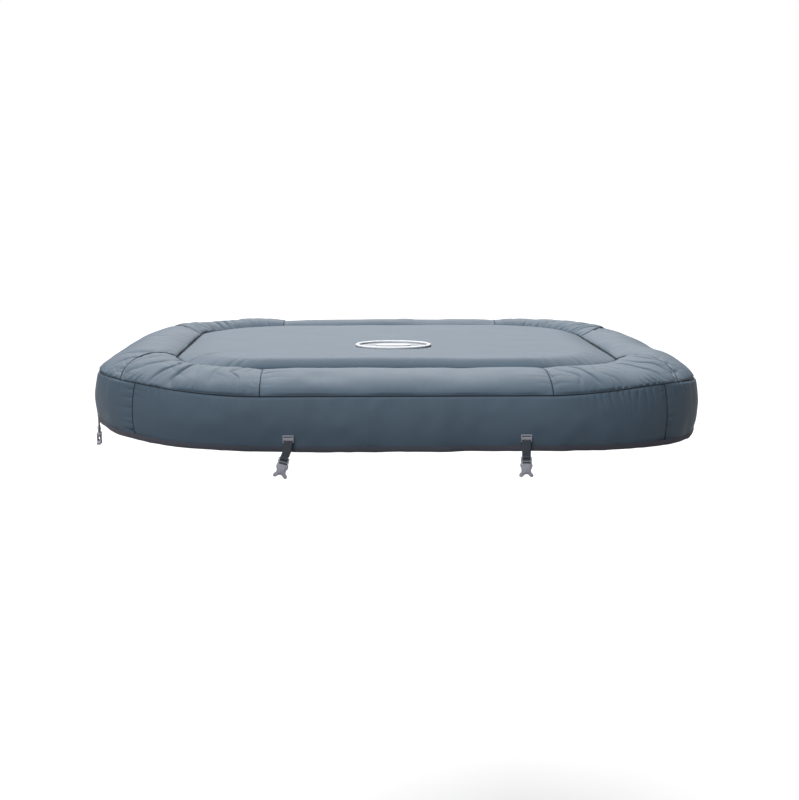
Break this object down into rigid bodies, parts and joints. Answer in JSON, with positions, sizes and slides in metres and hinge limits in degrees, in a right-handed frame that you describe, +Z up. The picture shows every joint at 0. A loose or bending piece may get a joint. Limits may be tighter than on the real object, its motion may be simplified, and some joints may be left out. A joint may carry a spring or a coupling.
{
  "type": "inflatable hot tub cover",
  "caption": "Padded square top cover of an inflatable hot tub: sewn panels, hanging skirt, inflatable insert with valve, zipped liner, and webbing straps with buckle sockets.",
  "frame": {"origin": "centre of the flat underside of the cover, the plane that rests on the rim of the tub", "axes": "+Z up, -Y towards the front side that carries the badge, +X to the right seen from the front"},
  "size_m": [1.8777, 1.8758, 0.324],
  "materials": {
    "cover_fabric": "blue-grey coated polyester cloth, fine plain weave, low sheen",
    "binding_tape": "grey-purple woven binding tape",
    "liner_fabric": "light grey coated lining cloth",
    "clear_vinyl": "grey-blue soft welded vinyl sheet",
    "zip_tape": "dark woven zip tape",
    "zip_coil": "dark nylon coil teeth",
    "zip_metal": "satin cast metal",
    "strap_webbing": "dark grey ribbed webbing",
    "buckle_plastic": "light grey moulded plastic, fine satin texture",
    "badge_white": "white soft moulded rim",
    "badge_blue": "plain grey-blue plate"
  },
  "bodies": {
    "cover": {"badge_plate": "badge_blue", "badge_rim": "badge_white", "border_corner_back_left": "cover_fabric", "border_corner_back_right": "cover_fabric", "border_corner_front_left": "cover_fabric", "border_corner_front_right": "cover_fabric", "border_strip_back": "cover_fabric", "border_strip_front": "cover_fabric", "border_strip_left": "cover_fabric", "border_strip_right": "cover_fabric", "centre_panel": "cover_fabric", "hem_binding": "binding_tape", "inflatable_insert": "clear_vinyl", "insert_web_1": "clear_vinyl", "insert_web_2": "clear_vinyl", "insert_web_3": "clear_vinyl", "insert_web_4": "clear_vinyl", "insert_web_5": "clear_vinyl", "liner": "liner_fabric", "skirt_back": "cover_fabric", "skirt_front": "cover_fabric", "skirt_left": "cover_fabric", "skirt_right": "cover_fabric", "strap_keeper_back_a": "buckle_plastic", "strap_keeper_back_b": "buckle_plastic", "strap_keeper_front_a": "buckle_plastic", "strap_keeper_front_b": "buckle_plastic", "strap_keeper_left_a": "buckle_plastic", "strap_keeper_left_b": "buckle_plastic", "strap_keeper_right": "buckle_plastic", "valve_base": "clear_vinyl", "zip_chain_back": "zip_coil", "zip_chain_front": "zip_coil", "zip_tape_back": "zip_tape", "zip_tape_front": "zip_tape"},
    "strap_front_a": {"strap_webbing_front_a": "strap_webbing"},
    "buckle_front_a": {"buckle_socket_front_a": "buckle_plastic"},
    "strap_front_b": {"strap_webbing_front_b": "strap_webbing"},
    "buckle_front_b": {"buckle_socket_front_b": "buckle_plastic"},
    "strap_right": {"strap_webbing_right": "strap_webbing"},
    "buckle_right": {"buckle_socket_right": "buckle_plastic"},
    "strap_back_a": {"strap_webbing_back_a": "strap_webbing"},
    "buckle_back_a": {"buckle_socket_back_a": "buckle_plastic"},
    "strap_back_b": {"strap_webbing_back_b": "strap_webbing"},
    "buckle_back_b": {"buckle_socket_back_b": "buckle_plastic"},
    "strap_left_a": {"strap_webbing_left_a": "strap_webbing"},
    "buckle_left_a": {"buckle_socket_left_a": "buckle_plastic"},
    "strap_left_b": {"strap_webbing_left_b": "strap_webbing"},
    "buckle_left_b": {"buckle_socket_left_b": "buckle_plastic"},
    "zip_slider_body": {"zip_slider": "zip_metal"},
    "zip_pull_body": {"zip_pull": "zip_metal"},
    "valve_cap_body": {"valve_cap": "clear_vinyl"},
    "valve_flap_body": {"valve_flap": "clear_vinyl"}
  },
  "joints": [
    {"name": "strap_swing_front_a", "type": "hinge", "parent": "cover", "child": "strap_front_a", "pos_m": [-0.32, -0.93215, -0.11579], "axis": [-1, 0, 0], "range_deg": [0, 120]},
    {"name": "buckle_pivot_front_a", "type": "hinge", "parent": "strap_front_a", "child": "buckle_front_a", "pos_m": [-0.33072, -0.93215, -0.15879], "axis": [-0.9703, 0, 0.2419], "range_deg": [-45, 45]},
    {"name": "strap_swing_front_b", "type": "hinge", "parent": "cover", "child": "strap_front_b", "pos_m": [0.348, -0.93215, -0.11579], "axis": [-1, 0, 0], "range_deg": [0, 120]},
    {"name": "buckle_pivot_front_b", "type": "hinge", "parent": "strap_front_b", "child": "buckle_front_b", "pos_m": [0.348, -0.93215, -0.15879], "axis": [-1, 0, 0], "range_deg": [-45, 45]},
    {"name": "strap_swing_right", "type": "hinge", "parent": "cover", "child": "strap_right", "pos_m": [0.93215, 0, -0.11579], "axis": [0, -1, 0], "range_deg": [0, 120]},
    {"name": "buckle_pivot_right", "type": "hinge", "parent": "strap_right", "child": "buckle_right", "pos_m": [0.93215, 0, -0.15879], "axis": [0, -1, 0], "range_deg": [-45, 45]},
    {"name": "strap_swing_back_a", "type": "hinge", "parent": "cover", "child": "strap_back_a", "pos_m": [0.335, 0.93215, -0.11579], "axis": [1, 0, 0], "range_deg": [0, 120]},
    {"name": "buckle_pivot_back_a", "type": "hinge", "parent": "strap_back_a", "child": "buckle_back_a", "pos_m": [0.335, 0.93215, -0.15879], "axis": [1, 0, 0], "range_deg": [-45, 45]},
    {"name": "strap_swing_back_b", "type": "hinge", "parent": "cover", "child": "strap_back_b", "pos_m": [-0.335, 0.93215, -0.11579], "axis": [1, 0, 0], "range_deg": [0, 120]},
    {"name": "buckle_pivot_back_b", "type": "hinge", "parent": "strap_back_b", "child": "buckle_back_b", "pos_m": [-0.335, 0.93215, -0.15879], "axis": [1, 0, 0], "range_deg": [-45, 45]},
    {"name": "strap_swing_left_a", "type": "hinge", "parent": "cover", "child": "strap_left_a", "pos_m": [-0.93402, 0.36, -0.1039], "axis": [0, 1, 0], "range_deg": [0, 120]},
    {"name": "buckle_pivot_left_a", "type": "hinge", "parent": "strap_left_a", "child": "buckle_left_a", "pos_m": [-0.93402, 0.36, -0.1469], "axis": [0, 1, 0], "range_deg": [-45, 45]},
    {"name": "strap_swing_left_b", "type": "hinge", "parent": "cover", "child": "strap_left_b", "pos_m": [-0.93402, -0.36, -0.1039], "axis": [0, 1, 0], "range_deg": [0, 120]},
    {"name": "buckle_pivot_left_b", "type": "hinge", "parent": "strap_left_b", "child": "buckle_left_b", "pos_m": [-0.93402, -0.36, -0.1469], "axis": [0, 1, 0], "range_deg": [-45, 45]},
    {"name": "zip_slide", "type": "slide", "parent": "cover", "child": "zip_slider_body", "axis": [1, 0, 0], "range_m": [0, 1.05]},
    {"name": "zip_pull_swing", "type": "hinge", "parent": "zip_slider_body", "child": "zip_pull_body", "pos_m": [-0.53, 0.5, -0.0026], "axis": [0, 1, 0], "range_deg": [-75, 75]},
    {"name": "valve_cap_hinge", "type": "hinge", "parent": "cover", "child": "valve_cap_body", "pos_m": [0, 0.6342, 0.0041], "axis": [1, 0, 0], "range_deg": [0, 100]},
    {"name": "valve_flap_hinge", "type": "hinge", "parent": "cover", "child": "valve_flap_body", "pos_m": [0, 0.6285, 0.0226], "axis": [-1, 0, 0], "range_deg": [0, 40]}
  ]
}
